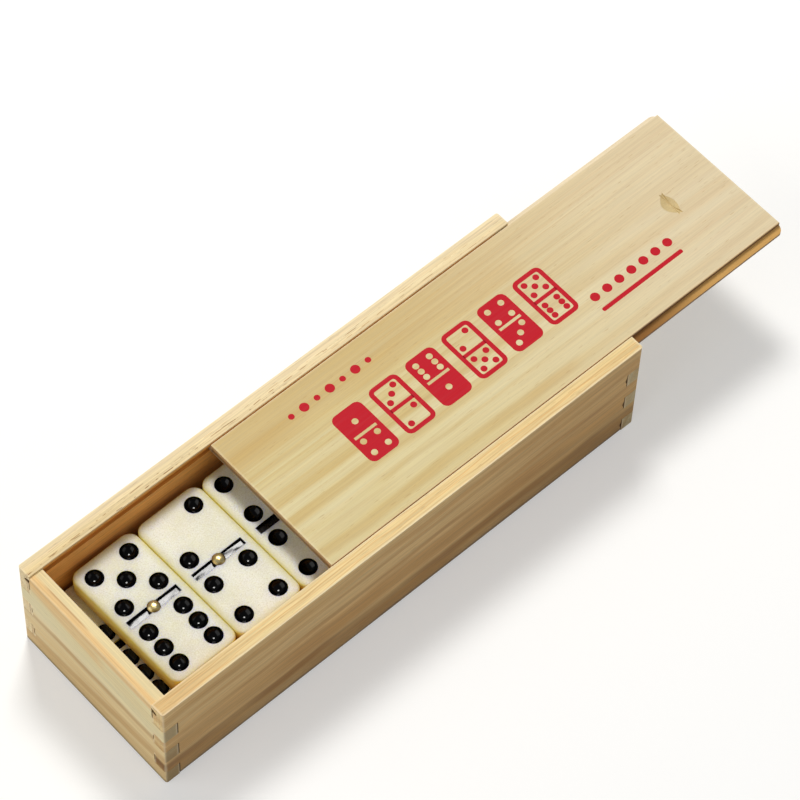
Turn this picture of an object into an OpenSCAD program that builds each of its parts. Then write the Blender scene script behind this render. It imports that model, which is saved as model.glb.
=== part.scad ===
// Wooden storage box with a sliding lid, packed with four rows of domino tiles.
// Millimetres. Origin at the middle of the box's underside, +X towards the end
// the lid slides out of, +Y towards the back wall, +Z up.

/* [Case] */
// Length of the case over its end walls
case_l = 186; // [182:1:230]
// Width of the case over its long walls
case_w = 64; // [62:0.5:80]
// Height of the case's long walls
case_h = 42; // [40:0.5:60]
// Thickness of the four walls
wall_t = 5; // [4:0.1:5.2]
// Height of one finger of the corner joints
finger_h = 6.3; // [5.5:0.1:6.8]
// Drop of the near end wall's top below the rim
near_drop = 0.8; // [0:0.1:1.5]
// Thickness of the bottom panel
panel_t = 3; // [2:0.1:4]
// Depth of the rebate that takes the bottom panel
panel_in = 2; // [1:0.1:2.5]
// Gap between the bottom panel's edge and its rebate
panel_gap = 0.1; // [0.05:0.05:0.3]

/* [Lid] */
// How far the lid is drawn out
lid_out = 62.5; // [0:0.5:150]
// Thickness of the lid
lid_t = 3.4; // [3:0.1:3.8]
// Drop of the lid's top face below the rim
lid_drop = 0.5; // [0.2:0.1:0.9]
// Gap between the lid's upper edge and each long wall
lid_play = 0.3; // [0.2:0.05:0.5]
// Running gap between the lid's underside and the groove's floor
lid_run = 0.1; // [0.05:0.05:0.15]
// Gap between the lid and the far end wall below it
lid_over = 0.3; // [0.1:0.05:0.6]
// Gap between the shut lid and the near end wall
lid_end_gap = 0.2; // [0.1:0.05:0.5]
// Height of the step along the lid's upper edge
tongue_step = 1.35; // [1:0.05:1.5]
// Fall of the lid's sloped edge
tongue_fall = 1.05; // [0.8:0.05:1.2]
// Width of the lid's sloped edge
tongue_w = 2; // [1.6:0.1:2.2]
// Depth of the groove beyond the tongue's tip
groove_gap = 0.5; // [0.3:0.05:0.6]
// Gap above the lid's sloped edge
groove_over = 0.3; // [0.2:0.05:0.5]
// Rounding of the lid's far corners
lid_corner_r = 1.8; // [1:0.1:2]
// Length of the nail notch across the lid
notch_l = 9.5; // [8:0.5:12]
// Width of the nail notch along the lid
notch_w = 4.4; // [4:0.1:6]
// Depth of the nail notch down its straight side
notch_depth = 1.6; // [1:0.1:1.8]
// Distance from the lid's far end to the notch's straight side
notch_back = 18; // [14:0.5:30]

/* [Tiles] */
// Free length left at the end of each row of tiles
row_room = 7.3; // [2:0.1:12]
// Free width left beside the tiles
side_room = 6; // [4:0.1:10]
// Thickness of a tile
tile_t = 6.5; // [5.5:0.1:7]
// Rounding of a tile's corners seen from above
corner_r = 3.6; // [2.5:0.1:4]
// Rounding of a tile's long and short edges
edge_r = 0.9; // [0.5:0.1:1.2]
// Gap between neighbouring tiles
tile_gap = 0.1; // [0.05:0.01:0.15]
// Gap between a row's first or last tile and the end wall
end_gap = 0.3; // [0.1:0.05:0.5]
// Shift of the lower rows towards the back wall
row_shift = 1.5; // [0:0.1:1.8]
// Shift of the top row's first tile towards the back wall
top_shift = 1.2; // [0:0.1:1.4]
// Turn of the first tile of the top row, in degrees
fan_turn = 1; // [0:0.1:1.2]
// Diameter of a pip
pip_d = 5.8; // [4.5:0.1:6]
// Depth of a pip
pip_depth = 2; // [1:0.1:2.2]
// Distance between the middles of neighbouring pips
pip_pitch = 6.55; // [6.1:0.05:6.8]
// Shift of each half's pips towards the middle of the tile
half_in = 0.1; // [0:0.1:0.5]
// Thickness of the black lacquer in the pips and bars
lacquer_t = 0.15; // [0.1:0.05:0.25]
// Gap between the lacquer in the bar and a rivet
lacquer_gap = 0.3; // [0.1:0.05:0.6]
// Width of the bar
bar_w = 2.8; // [2:0.1:3.2]
// Distance from the bar's end to the tile's side
bar_margin = 2.5; // [2:0.1:4]
// Depth of the bar
bar_depth = 1.2; // [0.6:0.1:1.3]

/* [Rivets] */
// Diameter of a rivet's head
rivet_d = 4; // [3.4:0.1:4.5]
// Height of a rivet's dome above the tile
rivet_h = 0.7; // [0.5:0.05:1]
// Diameter of a rivet's shank
shank_d = 2; // [1.5:0.1:2.5]
// Length of a rivet's shank below its head
shank_l = 3.5; // [2:0.1:4]
// Radial gap between a rivet and its hole
rivet_gap = 0.05; // [0.02:0.01:0.1]

/* [Hidden] */
$fn = 48;
cut = 1;
per_row = 7;
fan_share = 0.75;
inner_l = case_l - 2 * wall_t;
inner_w = case_w - 2 * wall_t;
lid_bottom = case_h - lid_drop - lid_t;
far_drop = lid_drop + lid_t + lid_over;
lid_l = case_l - wall_t - lid_end_gap;
lid_top_w = inner_w - 2 * lid_play;
tongue_tip = lid_top_w / 2 + tongue_w;
groove_w = tongue_tip + groove_gap;
tongue_slope = tongue_fall / tongue_w;
notch_r = (notch_l * notch_l / 4 + notch_depth * notch_depth) / (2 * notch_depth);
notch_tilt = asin(notch_depth / notch_w);
layer_h = tile_t + rivet_h;
pitch = (inner_l - row_room) / per_row;
tile_w = pitch - tile_gap;
tile_l = inner_w - side_room;
bar_l = tile_w - 2 * bar_margin;
pip_r = (pip_d * pip_d / 4 + pip_depth * pip_depth) / (2 * pip_depth);
half_y = tile_l / 4 - half_in;
dome_r = (rivet_d * rivet_d / 4 + rivet_h * rivet_h) / (2 * rivet_h);
low_first = -inner_l / 2 + end_gap + tile_w / 2;
top_first = inner_l / 2 - tile_gap - tile_w / 2 - (per_row - 1) * pitch;
fan_step = min(fan_turn / (per_row - 1), fan_share * atan(2 * tile_gap / tile_l));

// Every row from its near end, as the pips towards the back and towards the front
rows = [
  [[0, 0], [0, 1], [0, 2], [0, 3], [0, 4], [0, 5], [0, 6]],
  [[1, 1], [1, 2], [1, 3], [1, 4], [1, 5], [1, 6], [2, 2]],
  [[2, 6], [2, 3], [2, 5], [3, 3], [3, 4], [3, 5], [3, 6]],
  [[5, 6], [2, 4], [4, 4], [4, 5], [4, 6], [5, 5], [6, 6]]
];

// Box from its lowest corner to its highest
module block(low, high) {
  translate(low) cube(high - low);
}

// Long wall on one side: -1 the front, 1 the back
module long_wall(side) {
  low_y = side > 0 ? inner_w / 2 : -case_w / 2;
  difference() {
    block([-case_l / 2, low_y, 0], [case_l / 2, low_y + wall_t, case_h]);
    for (k = [0, 2, 4], x = [-case_l / 2, case_l / 2 - wall_t])
      end_slot(x, low_y, k);
    panel_rebate();
    lid_groove(side);
  }
}

// Slot in a long wall for finger k of an end wall, open below for the lowest
module end_slot(x, low_y, k) {
  low_z = k == 0 ? -cut : k * finger_h;
  block([x, low_y - cut, low_z], [x + wall_t, low_y + wall_t + cut, (k + 1) * finger_h]);
}

// Room for the bottom panel, cut from the walls' inner edges
module panel_rebate() {
  x = inner_l / 2 + panel_in;
  y = inner_w / 2 + panel_in;
  block([-x, -y, -cut], [x, y, panel_t]);
}

// Groove that guides one edge of the lid, open at both ends of its wall
module lid_groove(side) {
  slope_top = lid_bottom + lid_t - tongue_step + groove_over;
  mouth = lid_top_w / 2 - 2 * cut;
  rotate([90, 0, 90]) translate([0, 0, -case_l / 2 - cut]) linear_extrude(case_l + 2 * cut)
    scale([side, 1]) polygon([
    [mouth, lid_bottom - lid_run],
    [groove_w, lid_bottom - lid_run],
    [groove_w, slope_top - (groove_w - lid_top_w / 2) * tongue_slope],
    [mouth, slope_top + 2 * cut * tongue_slope]
  ]);
}

// End wall on one side: -1 the near end, 1 the far end
module end_wall(side, drop) {
  low_x = side > 0 ? inner_l / 2 : -case_l / 2;
  difference() {
    union() {
      block([low_x, -inner_w / 2, 0], [low_x + wall_t, inner_w / 2, case_h - drop]);
      for (k = [0, 2, 4])
        block([low_x, -case_w / 2, k * finger_h], [low_x + wall_t, case_w / 2, (k + 1) * finger_h]);
    }
    panel_rebate();
  }
}

module bottom_panel() {
  x = inner_l / 2 + panel_in - panel_gap;
  y = inner_w / 2 + panel_in - panel_gap;
  block([-x, -y, 0], [x, y, panel_t]);
}

// Lid with a tongue along each side and a notch for the fingernail
module lid() {
  far = case_l / 2 + lid_out;
  top = lid_bottom + lid_t;
  difference() {
    intersection() {
      translate([far - lid_l, 0, 0]) rotate([90, 0, 90]) linear_extrude(lid_l) polygon([
        [-tongue_tip, lid_bottom],
        [tongue_tip, lid_bottom],
        [tongue_tip, top - tongue_step - tongue_fall],
        [lid_top_w / 2, top - tongue_step],
        [lid_top_w / 2, top],
        [-lid_top_w / 2, top],
        [-lid_top_w / 2, top - tongue_step],
        [-tongue_tip, top - tongue_step - tongue_fall]
      ]);
      translate([far, 0, lid_bottom - cut]) linear_extrude(lid_t + 2 * cut) lid_plan();
    }
    translate([far - notch_back, 0, top]) nail_notch();
  }
}

// Tilted disc that cuts the notch: steep towards the far end, rising towards the near end
module nail_notch() {
  rotate([0, notch_tilt - 90, 0]) translate([notch_r - notch_depth, 0, 0])
    cylinder(h = 3 * notch_w, r = notch_r, $fn = 96);
}

// Lid's outline from above, rounded at its two far corners
module lid_plan() {
  difference() {
    translate([-lid_l - cut, -tongue_tip - cut]) square([lid_l + cut, 2 * (tongue_tip + cut)]);
    for (s = [-1, 1]) difference() {
      translate([-lid_corner_r, s > 0 ? tongue_tip - lid_corner_r : -tongue_tip - 2 * cut])
        square([lid_corner_r + cut, lid_corner_r + 2 * cut]);
      translate([-lid_corner_r, s * (tongue_tip - lid_corner_r)]) circle(lid_corner_r);
    }
  }
}

// Rectangle with rounded corners
module rounded(a, b, r) {
  square([a - 2 * r, b], center = true);
  square([a, b - 2 * r], center = true);
  for (i = [-1, 1], j = [-1, 1]) translate([i * (a / 2 - r), j * (b / 2 - r)]) circle(r);
}

// Tile without its pips, rounded in all three views
module blank() {
  intersection() {
    linear_extrude(tile_t) rounded(tile_w, tile_l, corner_r);
    translate([0, tile_l / 2 + cut, tile_t / 2]) rotate([90, 0, 0])
      linear_extrude(tile_l + 2 * cut) rounded(tile_w, tile_t, edge_r);
    translate([-tile_w / 2 - cut, 0, tile_t / 2]) rotate([90, 0, 90])
      linear_extrude(tile_w + 2 * cut) rounded(tile_l, tile_t, edge_r);
  }
}

// Places of a half's pips, in steps of the pitch
function spots(n) = concat(
  n % 2 == 1 ? [[0, 0]] : [],
  n >= 2 ? [[1, 1], [-1, -1]] : [],
  n >= 4 ? [[-1, 1], [1, -1]] : [],
  n == 6 ? [[-1, 0], [1, 0]] : []
);

// Puts its child at every pip of a tile
module at_pips(pair) {
  for (side = [0, 1], p = spots(pair[side]))
    translate([p[0] * pip_pitch, (side == 0 ? half_y : -half_y) + p[1] * pip_pitch, tile_t]) children();
}

// Ball that cuts a pip, standing above a tile's face
module pip_ball(lift) {
  translate([0, 0, pip_r - pip_depth + lift]) sphere(pip_r);
}

// Tile with its pips, its bar and the hole for its rivet
module tile(pair) {
  difference() {
    blank();
    at_pips(pair) pip_ball(0);
    translate([0, 0, tile_t]) cube([bar_l, bar_w, 2 * bar_depth], center = true);
    translate([0, 0, tile_t - bar_depth]) cylinder(h = bar_depth + cut, d = rivet_d + 2 * rivet_gap);
    translate([0, 0, tile_t - bar_depth - shank_l - rivet_gap])
      cylinder(h = shank_l + cut, d = shank_d + 2 * rivet_gap);
  }
}

// Domed rivet in the middle of a tile
module rivet() {
  translate([0, 0, tile_t - bar_depth]) cylinder(h = bar_depth, d = rivet_d);
  translate([0, 0, tile_t - bar_depth - shank_l]) cylinder(h = shank_l + bar_depth, d = shank_d);
  intersection() {
    translate([0, 0, tile_t + rivet_h - dome_r]) sphere(dome_r);
    translate([-rivet_d, -rivet_d, tile_t]) cube([2 * rivet_d, 2 * rivet_d, rivet_h + cut]);
  }
}

// Thin black lacquer in a tile's pips and along its bar
module lacquer(pair) {
  at_pips(pair) difference() {
    intersection() {
      pip_ball(0);
      translate([-pip_d, -pip_d, -2 * pip_depth]) cube([2 * pip_d, 2 * pip_d, 2 * pip_depth]);
    }
    pip_ball(lacquer_t);
  }
  for (s = [-1, 1]) {
    inner = rivet_d / 2 + lacquer_gap;
    translate([s > 0 ? inner : -bar_l / 2, -bar_w / 2, tile_t - bar_depth])
      cube([bar_l / 2 - inner, bar_w, lacquer_t]);
  }
}

// Node name of a tile
function tile_name(pair) = str("tile_", pair[0], "_", pair[1]);

// Puts its child where a tile lies: row 0 at the bottom, place 0 at the near end
module at_place(row, place) {
  top = row == 3;
  x = (top ? top_first : low_first) + place * pitch;
  y = top ? top_shift * (1 - 2 * place / (per_row - 1)) : row_shift;
  turn = top ? (per_row - 1 - place) * fan_step : 0;
  translate([x, y, panel_t + row * layer_h]) rotate([0, 0, turn]) children();
}

color("BurlyWood") long_wall(-1);  // front_wall
color("BurlyWood") long_wall(1);  // back_wall
color("Tan") end_wall(-1, near_drop);  // near_end_wall
color("Tan") end_wall(1, far_drop);  // far_end_wall
color("Wheat") bottom_panel();
color("Wheat") lid();
for (row = [0:3], place = [0:per_row - 1])
  color("Ivory") at_place(row, place) tile(rows[row][place]);
for (row = [0:3])
  color("Gold") for (place = [0:per_row - 1]) at_place(row, place) rivet();
for (row = [0:3])
  color("Black") for (place = [0:per_row - 1]) at_place(row, place) lacquer(rows[row][place]);
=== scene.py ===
import math

import bpy
from mathutils import Matrix, Vector


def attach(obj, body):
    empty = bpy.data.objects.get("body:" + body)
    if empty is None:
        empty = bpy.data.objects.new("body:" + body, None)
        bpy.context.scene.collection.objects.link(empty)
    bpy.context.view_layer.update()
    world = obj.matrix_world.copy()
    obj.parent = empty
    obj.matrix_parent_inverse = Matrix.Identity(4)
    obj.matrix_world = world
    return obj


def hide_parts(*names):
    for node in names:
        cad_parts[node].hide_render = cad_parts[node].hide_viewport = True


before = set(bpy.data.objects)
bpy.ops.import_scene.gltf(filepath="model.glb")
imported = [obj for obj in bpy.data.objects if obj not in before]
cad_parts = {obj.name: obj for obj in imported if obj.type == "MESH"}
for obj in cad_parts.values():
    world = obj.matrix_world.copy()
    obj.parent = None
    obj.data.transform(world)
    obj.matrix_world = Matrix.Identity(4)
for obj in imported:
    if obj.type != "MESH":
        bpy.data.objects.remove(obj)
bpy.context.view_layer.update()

MM = 0.001
PER_METRE = 1000.0

# Sizes of the box and its tiles, in millimetres
CASE_L, CASE_W, CASE_H, WALL = 186.0, 64.0, 42.0, 5.0
NEAR_TOP, FAR_TOP = 41.2, 37.8
FINGER = 6.3
PANEL, PANEL_IN = 3.0, 2.0
LID_BOTTOM, LID_TOP = 38.1, 41.5
LID_NEAR, LID_FAR = -25.3, 155.5
LID_HALF, TONGUE_TIP, LID_PLAY = 26.7, 28.7, 0.1
TONGUE_RISE, TONGUE_DROP = 1.35, 1.05
GROOVE_SIDE, GROOVE_ROOF, GROOVE_SLOPE = 29.2, 40.45, 0.525
NOTCH_L, NOTCH_X = 9.5, 136.1
TILE_L, TILE_W, TILE_T, TILE_GAP = 48.0, 24.0, 6.5, 0.1
TILE_CORNER, TILE_EDGE = 3.6, 0.9
PIP_PITCH, HALF_Y = 6.55, 11.9
PIP_R, PIP_DEPTH = 2.9, 2.0
PIP_BALL = (PIP_R ** 2 + PIP_DEPTH ** 2) / (2 * PIP_DEPTH)
BAR_L, BAR_W, BAR_DEPTH = 19.0, 2.8, 1.2
LACQUER_SKIN = 0.12
RIVET_R, RIVET_H = 2.0, 0.7
TOP_ROW = [(5, 6), (2, 4), (4, 4), (4, 5), (4, 6), (5, 5), (6, 6)]
TOP_ROW_Z = PANEL + 3 * (TILE_T + RIVET_H)


# Working in Blender as by hand

def deselect():
    if bpy.context.object and bpy.context.object.mode != "OBJECT":
        bpy.ops.object.mode_set(mode="OBJECT")
    bpy.ops.object.select_all(action="DESELECT")


def take(piece):
    deselect()
    piece.select_set(True)
    bpy.context.view_layer.objects.active = piece
    return piece


def settle(piece):
    """Puts the piece's place, turn and size into its mesh."""
    take(piece)
    bpy.ops.object.transform_apply(location=True, rotation=True, scale=True)
    return piece


def block(name, low, high):
    """Box between two corners given in millimetres."""
    deselect()
    middle = [(a + b) / 2 * MM for a, b in zip(low, high)]
    bpy.ops.mesh.primitive_cube_add(size=1, location=middle)
    piece = bpy.context.object
    piece.name = piece.data.name = name
    piece.scale = [(b - a) * MM for a, b in zip(low, high)]
    return settle(piece)


def pick_faces(piece, test):
    """Goes into edit mode with the faces selected whose middle and normal pass the test."""
    take(piece)
    bpy.ops.object.mode_set(mode="EDIT")
    bpy.ops.mesh.select_mode(type="FACE")
    bpy.ops.mesh.select_all(action="DESELECT")
    bpy.ops.object.mode_set(mode="OBJECT")
    for f in piece.data.polygons:
        f.select = bool(test(f.center / MM, f.normal))
    bpy.ops.object.mode_set(mode="EDIT")


def pick_edges(piece, test):
    """Goes into edit mode with the edges selected whose two ends pass the test."""
    take(piece)
    bpy.ops.object.mode_set(mode="EDIT")
    bpy.ops.mesh.select_mode(type="EDGE")
    bpy.ops.mesh.select_all(action="DESELECT")
    bpy.ops.object.mode_set(mode="OBJECT")
    points = piece.data.vertices
    for e in piece.data.edges:
        e.select = bool(test(points[e.vertices[0]].co / MM, points[e.vertices[1]].co / MM))
    bpy.ops.object.mode_set(mode="EDIT")


def done():
    bpy.ops.object.mode_set(mode="OBJECT")


def ease(piece, test, width, steps=3):
    """Rounds the edges that pass the test."""
    pick_edges(piece, test)
    bpy.ops.mesh.bevel(offset=width * MM, segments=steps, affect="EDGES", clamp_overlap=True)
    done()


def cut(piece, cutter):
    """Takes the cutter's shape out of the piece."""
    take(piece)
    bpy.ops.object.modifier_add(type="BOOLEAN")
    step = piece.modifiers[-1]
    step.operation = "DIFFERENCE"
    step.solver = "EXACT"
    step.object = cutter
    bpy.ops.object.modifier_apply(modifier=step.name)
    bpy.data.objects.remove(cutter)
    return piece


def smooth(piece, angle=35):
    take(piece)
    bpy.ops.object.shade_smooth_by_angle(angle=math.radians(angle))
    return piece


def joined(name, parts):
    deselect()
    for p in parts:
        p.select_set(True)
    bpy.context.view_layer.objects.active = parts[0]
    bpy.ops.object.join()
    piece = bpy.context.object
    piece.name = piece.data.name = name
    return settle(piece)


def copy_of(piece, place=(0, 0, 0), turn=0.0):
    """Copy with its own mesh, moved by a place in millimetres and turned about +Z."""
    take(piece)
    bpy.ops.object.duplicate(linked=False)
    twin = bpy.context.object
    twin.matrix_world = Matrix.Translation(Vector(place) * MM) @ Matrix.Rotation(turn, 4, "Z")
    return twin


def on_line(a, b, axis, value, slack=0.02):
    return abs(a[axis] - value) < slack and abs(b[axis] - value) < slack


# Colour and finish

def srgb(r, g, b):
    def straight(c):
        c /= 255
        return c / 12.92 if c <= 0.04045 else ((c + 0.055) / 1.055) ** 2.4
    return (straight(r), straight(g), straight(b), 1.0)


def add(tree, kind, settings=None, **inputs):
    """New shader node. Inputs are given by name, with _ for a space, or as i0, i1 by place."""
    node = tree.nodes.new(kind)
    for key, value in (settings or {}).items():
        setattr(node, key, value)
    for key, value in inputs.items():
        by_place = key[0] == "i" and key[1:].isdigit()
        socket = node.inputs[int(key[1:]) if by_place else key.replace("_", " ")]
        if isinstance(value, bpy.types.NodeSocket):
            tree.links.new(value, socket)
        else:
            socket.default_value = value
    return node


def maths(tree, operation, a, b=0.0, c=0.0):
    return add(tree, "ShaderNodeMath", {"operation": operation}, i0=a, i1=b, i2=c).outputs[0]


def vectors(tree, operation, a, b=(0.0, 0.0, 0.0)):
    return add(tree, "ShaderNodeVectorMath", {"operation": operation}, i0=a, i1=b).outputs[0]


def scaled(tree, vector, by):
    return add(tree, "ShaderNodeVectorMath", {"operation": "SCALE"}, i0=vector, Scale=by).outputs[0]


def parts_of(tree, vector):
    return add(tree, "ShaderNodeSeparateXYZ", i0=vector).outputs


def spread(tree, value, low, high, to_low=0.0, to_high=1.0):
    """Smooth step that takes low to to_low and high to to_high."""
    node = add(tree, "ShaderNodeMapRange", {"interpolation_type": "SMOOTHSTEP"}, i0=value)
    for place, number in zip((1, 2, 3, 4), (low, high, to_low, to_high)):
        node.inputs[place].default_value = number
    return node.outputs[0]


def mixed(tree, factor, a, b, way="MIX"):
    node = tree.nodes.new("ShaderNodeMix")
    node.data_type = "RGBA"
    node.blend_type = way
    for place, value in ((0, factor), (6, a), (7, b)):
        if isinstance(value, bpy.types.NodeSocket):
            tree.links.new(value, node.inputs[place])
        else:
            node.inputs[place].default_value = value
    return node.outputs[2]


def noise(tree, vector, stretch, detail=2.0, rough=0.5):
    """Noise on millimetres, with a stretch of repeats per millimetre along each axis."""
    stretched = vectors(tree, "MULTIPLY", vector, stretch)
    return add(tree, "ShaderNodeTexNoise", Vector=stretched, Scale=1.0, Detail=detail, Roughness=rough)


def noise_on_line(tree, value, detail):
    line = {"noise_dimensions": "1D"}
    return add(tree, "ShaderNodeTexNoise", line, W=value, Scale=1.0, Detail=detail).outputs[0]


def group(name, inputs, outputs):
    """New node group, with what it is given and what it puts out."""
    tree = bpy.data.node_groups.new(name, "ShaderNodeTree")
    for kind, label, value in inputs:
        socket = tree.interface.new_socket(name=label, in_out="INPUT", socket_type=kind)
        if value is not None:
            socket.default_value = value
    for kind, label in outputs:
        tree.interface.new_socket(name=label, in_out="OUTPUT", socket_type=kind)
    return tree, tree.nodes.new("NodeGroupInput").outputs, tree.nodes.new("NodeGroupOutput").inputs


def pine_grain_group():
    """Growth rings round a pith line along X, with fibres and short resin flecks.
    Vector is in metres, Pith and Ring gap are in millimetres."""
    tree, given, out = group("pine_grain", [
        ("NodeSocketVector", "Vector", None),
        ("NodeSocketVector", "Pith", (0.0, 0.0, -60.0)),
        ("NodeSocketFloat", "Ring gap", 3.0),
        ("NodeSocketFloat", "Wander", 3.0),
    ], [("NodeSocketFloat", "Ring"), ("NodeSocketFloat", "Streak"), ("NodeSocketFloat", "Fibre"),
        ("NodeSocketFloat", "Fleck"), ("NodeSocketFloat", "Height")])
    mm = scaled(tree, given["Vector"], PER_METRE)
    from_pith = vectors(tree, "SUBTRACT", mm, given["Pith"])
    bend = noise(tree, from_pith, (0.011, 0.035, 0.035), 2.0).outputs["Color"]
    bend = scaled(tree, vectors(tree, "SUBTRACT", bend, (0.5, 0.5, 0.5)), given["Wander"])
    bent = vectors(tree, "ADD", from_pith, bend)
    across = vectors(tree, "MULTIPLY", bent, (0.0, 1.0, 1.0))
    radius = add(tree, "ShaderNodeVectorMath", {"operation": "LENGTH"}, i0=across).outputs["Value"]
    ring = maths(tree, "DIVIDE", radius, given["Ring gap"])
    uneven = noise_on_line(tree, maths(tree, "MULTIPLY", ring, 0.45), 1.0)
    ring = maths(tree, "MULTIPLY_ADD", uneven, 2.4, ring)
    shiver = noise(tree, mm, (0.03, 0.5, 0.5), 2.0)
    ring = maths(tree, "MULTIPLY_ADD", shiver.outputs[0], 0.22, ring)
    turn = maths(tree, "FRACT", ring)
    rise = spread(tree, turn, 0.25, 0.88)
    fall = spread(tree, turn, 0.88, 1.0, 1.0, 0.0)
    band = maths(tree, "MULTIPLY", rise, fall)
    strength = noise(tree, mm, (0.008, 0.09, 0.09), 1.0)
    band = maths(tree, "MULTIPLY", band, spread(tree, strength.outputs[0], 0.3, 0.68, 0.25, 1.0))
    tree.links.new(band, out["Ring"])
    streak = noise(tree, mm, (0.006, 0.16, 0.16), 2.0)
    tree.links.new(streak.outputs[0], out["Streak"])
    fibre = noise(tree, mm, (0.05, 2.2, 2.2), 3.0, 0.65)
    tree.links.new(fibre.outputs[0], out["Fibre"])
    fleck = noise(tree, mm, (0.22, 2.6, 2.6), 2.0)
    tree.links.new(spread(tree, fleck.outputs[0], 0.64, 0.74), out["Fleck"])
    height = maths(tree, "MULTIPLY_ADD", band, 0.5, fibre.outputs[0])
    tree.links.new(height, out["Height"])
    return tree


def arris_group():
    """Mask of the edges of a box given by its middle and half size, in millimetres."""
    tree, given, out = group("arris", [
        ("NodeSocketVector", "Vector", None),
        ("NodeSocketVector", "Middle", (0.0, 0.0, 0.0)),
        ("NodeSocketVector", "Half", (1.0, 1.0, 1.0)),
        ("NodeSocketFloat", "Width", 0.5),
    ], [("NodeSocketFloat", "Edge")])
    mm = scaled(tree, given["Vector"], PER_METRE)
    away = vectors(tree, "ABSOLUTE", vectors(tree, "SUBTRACT", mm, given["Middle"]))
    parts = parts_of(tree, vectors(tree, "SUBTRACT", given["Half"], away))
    lowest = maths(tree, "MINIMUM", maths(tree, "MINIMUM", parts[0], parts[1]), parts[2])
    highest = maths(tree, "MAXIMUM", maths(tree, "MAXIMUM", parts[0], parts[1]), parts[2])
    middle = maths(tree, "ADD", maths(tree, "ADD", parts[0], parts[1]), parts[2])
    middle = maths(tree, "SUBTRACT", maths(tree, "SUBTRACT", middle, lowest), highest)
    ragged = noise(tree, mm, (0.3, 0.3, 0.3), 2.0)
    width = maths(tree, "MULTIPLY", given["Width"], maths(tree, "ADD", ragged.outputs[0], 0.5))
    near = maths(tree, "SUBTRACT", 1.0, maths(tree, "DIVIDE", middle, width))
    tree.links.new(spread(tree, near, 0.0, 1.0), out["Edge"])
    return tree


def mark_group():
    """Mask of one long mark in the wood, in millimetres along and across the grain.
    Its middle is at Level plus Slope times Along, with a slight waver. It fades out before From and
    after To, its strength is uneven, and Broken takes pieces out of it."""
    tree, given, out = group("grain_mark", [
        ("NodeSocketFloat", "Along", 0.0), ("NodeSocketFloat", "Across", 0.0),
        ("NodeSocketFloat", "Level", 0.0), ("NodeSocketFloat", "Slope", 0.0),
        ("NodeSocketFloat", "Half", 1.0), ("NodeSocketFloat", "Soft", 1.0),
        ("NodeSocketFloat", "From", -100.0), ("NodeSocketFloat", "To", 100.0),
        ("NodeSocketFloat", "Broken", 0.0),
    ], [("NodeSocketFloat", "Mask")])
    middle = maths(tree, "MULTIPLY_ADD", given["Slope"], given["Along"], given["Level"])
    beat = maths(tree, "MULTIPLY_ADD", given["Along"], 0.028, given["Level"])
    waver = noise_on_line(tree, beat, 2.0)
    waver = maths(tree, "MULTIPLY", maths(tree, "SUBTRACT", waver, 0.5), 2.6)
    away = maths(tree, "SUBTRACT", given["Across"], maths(tree, "ADD", middle, waver))
    away = maths(tree, "SUBTRACT", maths(tree, "ABSOLUTE", away), given["Half"])
    body = maths(tree, "DIVIDE", away, given["Soft"])
    fade = 9.0
    start = maths(tree, "DIVIDE", maths(tree, "SUBTRACT", given["From"], given["Along"]), fade)
    end = maths(tree, "DIVIDE", maths(tree, "SUBTRACT", given["Along"], given["To"]), fade)
    worst = maths(tree, "MAXIMUM", body, maths(tree, "MAXIMUM", start, end))
    whole = spread(tree, worst, 0.0, 1.0, 1.0, 0.0)
    step = maths(tree, "MULTIPLY_ADD", given["Along"], 0.17, maths(tree, "MULTIPLY", given["Level"], 7.3))
    gaps = noise_on_line(tree, step, 4.0)
    gaps = maths(tree, "MULTIPLY", spread(tree, gaps, 0.48, 0.6, 1.0, 0.0), given["Broken"])
    beat = maths(tree, "MULTIPLY_ADD", given["Along"], 0.02, maths(tree, "MULTIPLY", given["Level"], 3.1))
    press = noise_on_line(tree, beat, 1.0)
    whole = maths(tree, "MULTIPLY", whole, spread(tree, press, 0.3, 0.6, 0.6, 1.0))
    tree.links.new(maths(tree, "MULTIPLY", whole, maths(tree, "SUBTRACT", 1.0, gaps)), out["Mask"])
    return tree


def new_material(name):
    finish = bpy.data.materials.new(name)
    finish.use_nodes = True
    tree = finish.node_tree
    surface = tree.nodes["Principled BSDF"]
    place = tree.nodes.new("ShaderNodeTexCoord").outputs["Object"]
    return finish, tree, surface, place


def in_mm(tree, place):
    """The place's three parts in millimetres."""
    return parts_of(tree, scaled(tree, place, PER_METRE))


def within(axis, low, high, soft=0.3):
    """Mask that is 1 between two places along an axis, in millimetres."""
    def mask(tree, place):
        away = maths(tree, "SUBTRACT", in_mm(tree, place)[axis], (low + high) / 2)
        half = (high - low) / 2
        return spread(tree, maths(tree, "ABSOLUTE", away), half - soft, half + soft, 1.0, 0.0)
    return mask


def all_of(*masks):
    def mask(tree, place):
        value = masks[0](tree, place)
        for other in masks[1:]:
            value = maths(tree, "MULTIPLY", value, other(tree, place))
        return value
    return mask


def outside(axis, low, high, soft=0.1):
    """Mask that is 1 beyond two places along an axis, in millimetres."""
    def mask(tree, place):
        return maths(tree, "SUBTRACT", 1.0, within(axis, low, high, soft)(tree, place))
    return mask


def facing(axis, low, high):
    """Mask from 0 to 1 as the surface's direction along an axis goes from low to high."""
    def mask(tree, place):
        way = tree.nodes["Texture Coordinate"].outputs["Normal"]
        return spread(tree, parts_of(tree, way)[axis], low, high)
    return mask


def slope_along(axis, low, high):
    """Mask from 0 to 1 from one place to another along an axis, in millimetres."""
    def mask(tree, place):
        return spread(tree, in_mm(tree, place)[axis], low, high)
    return mask


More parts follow.
